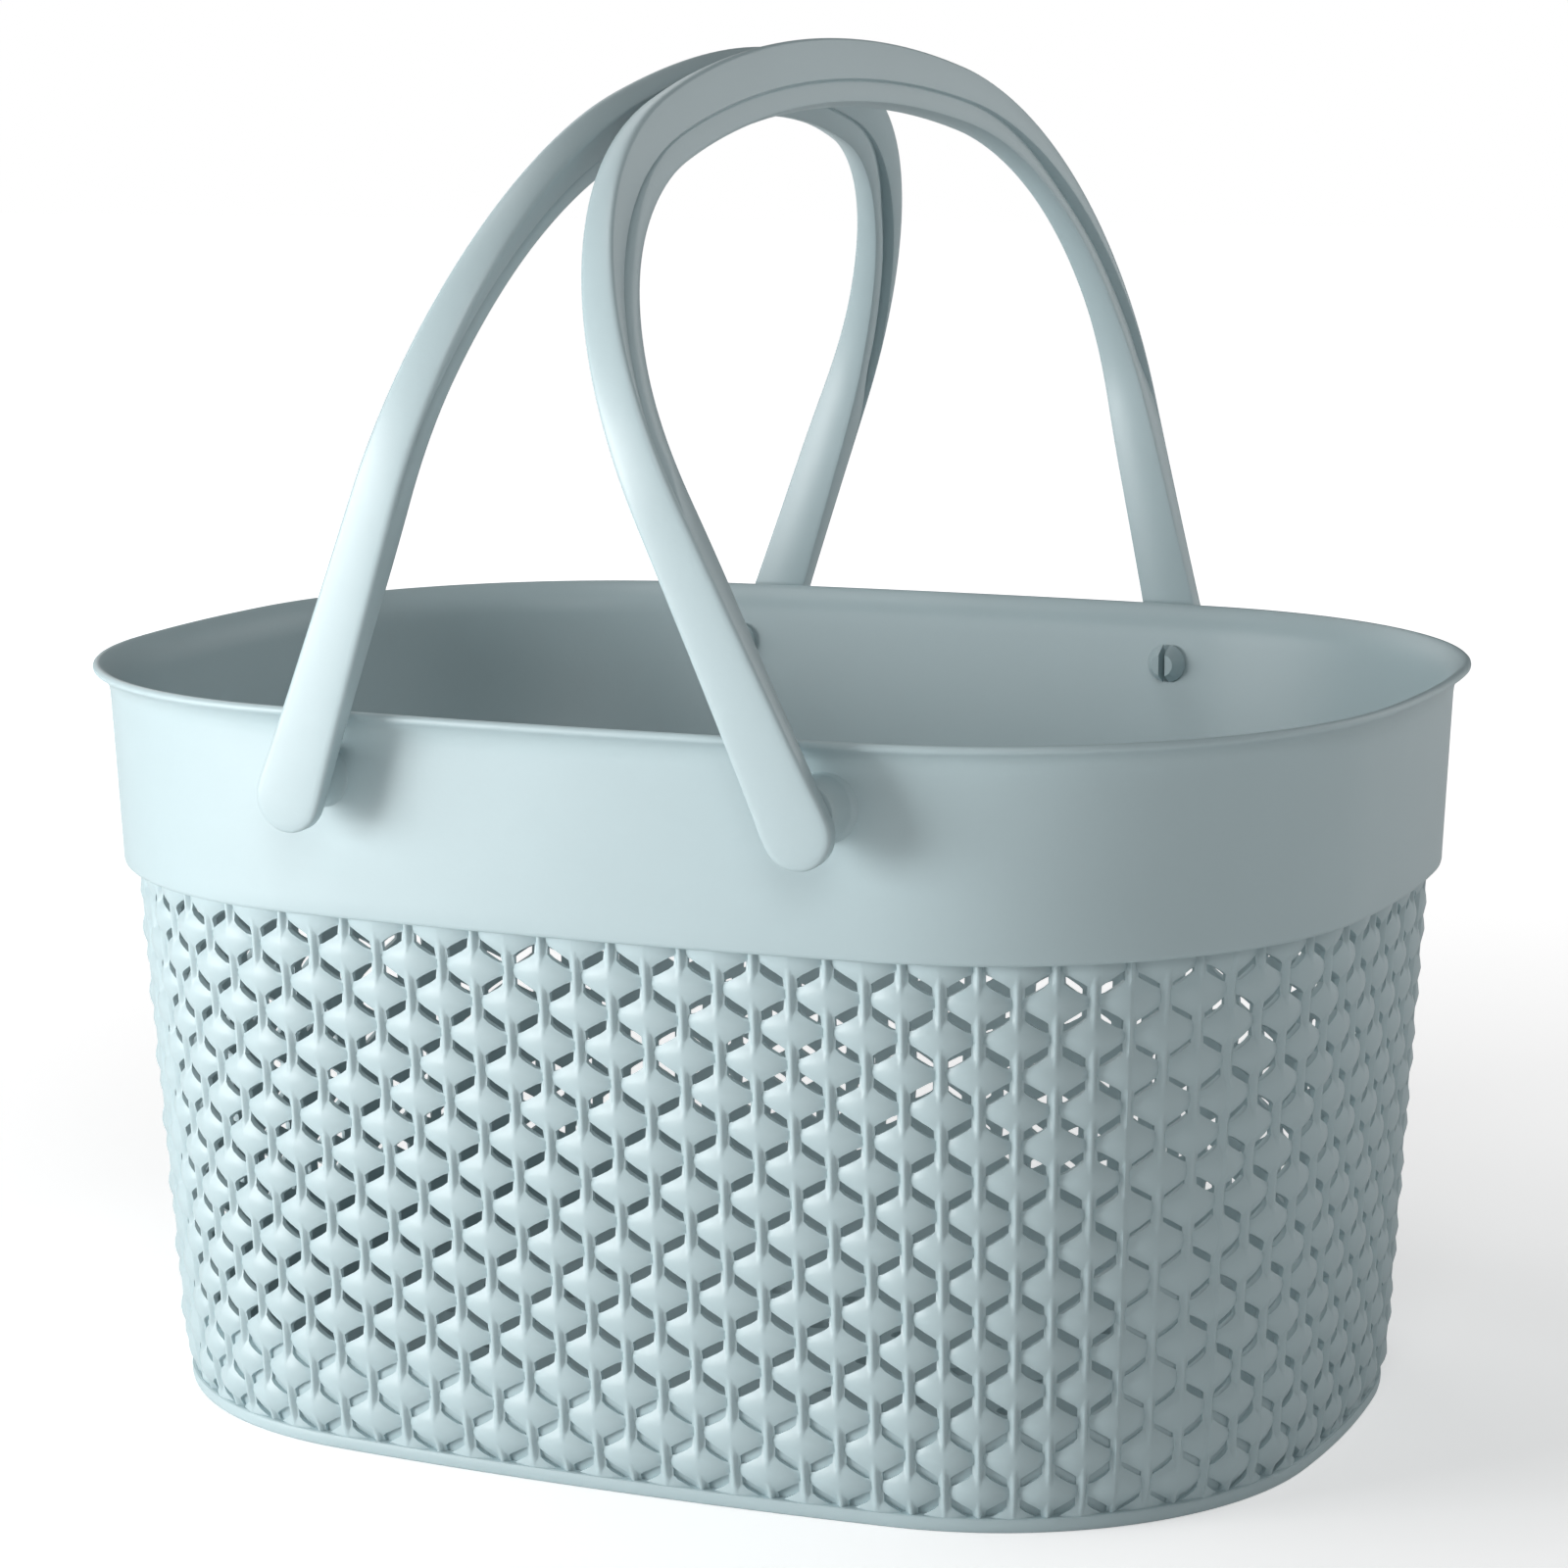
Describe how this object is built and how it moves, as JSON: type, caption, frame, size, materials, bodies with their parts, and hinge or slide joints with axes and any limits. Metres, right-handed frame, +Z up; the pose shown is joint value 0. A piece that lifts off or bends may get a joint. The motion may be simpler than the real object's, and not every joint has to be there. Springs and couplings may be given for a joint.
{
  "type": "shower caddy",
  "caption": "Oval plastic bathroom caddy with a lattice wall, a flared rim and a pair of bail handles that fold outwards onto the basket.",
  "frame": {"origin": "middle of the foot, on the surface the caddy stands on", "axes": "+X along the basket to the right, -Y to the front, +Z up"},
  "size_m": [0.31, 0.2548, 0.3077],
  "materials": {
    "basket_plastic": "satin",
    "handle_plastic": "satin"
  },
  "bodies": {
    "basket": {"rim_lip": "basket_plastic", "collar": "basket_plastic", "lattice_wall": "basket_plastic", "floor_plate": "basket_plastic", "foot_ring": "basket_plastic", "front_left_boss": "basket_plastic", "front_right_boss": "basket_plastic", "back_left_boss": "basket_plastic", "back_right_boss": "basket_plastic"},
    "handle_left": {"left_strap": "handle_plastic", "left_grip_rib": "handle_plastic", "left_front_peg": "handle_plastic", "left_back_peg": "handle_plastic"},
    "handle_right": {"right_strap": "handle_plastic", "right_grip_rib": "handle_plastic", "right_front_peg": "handle_plastic", "right_back_peg": "handle_plastic"}
  },
  "joints": [
    {"name": "left_handle_pivot", "type": "hinge", "parent": "basket", "child": "handle_left", "pos_m": [-0.058, 0, 0.156], "axis": [0, -1, 0], "range_deg": [0, 160]},
    {"name": "right_handle_pivot", "type": "hinge", "parent": "basket", "child": "handle_right", "pos_m": [0.058, 0, 0.156], "axis": [0, 1, 0], "range_deg": [0, 160]}
  ]
}
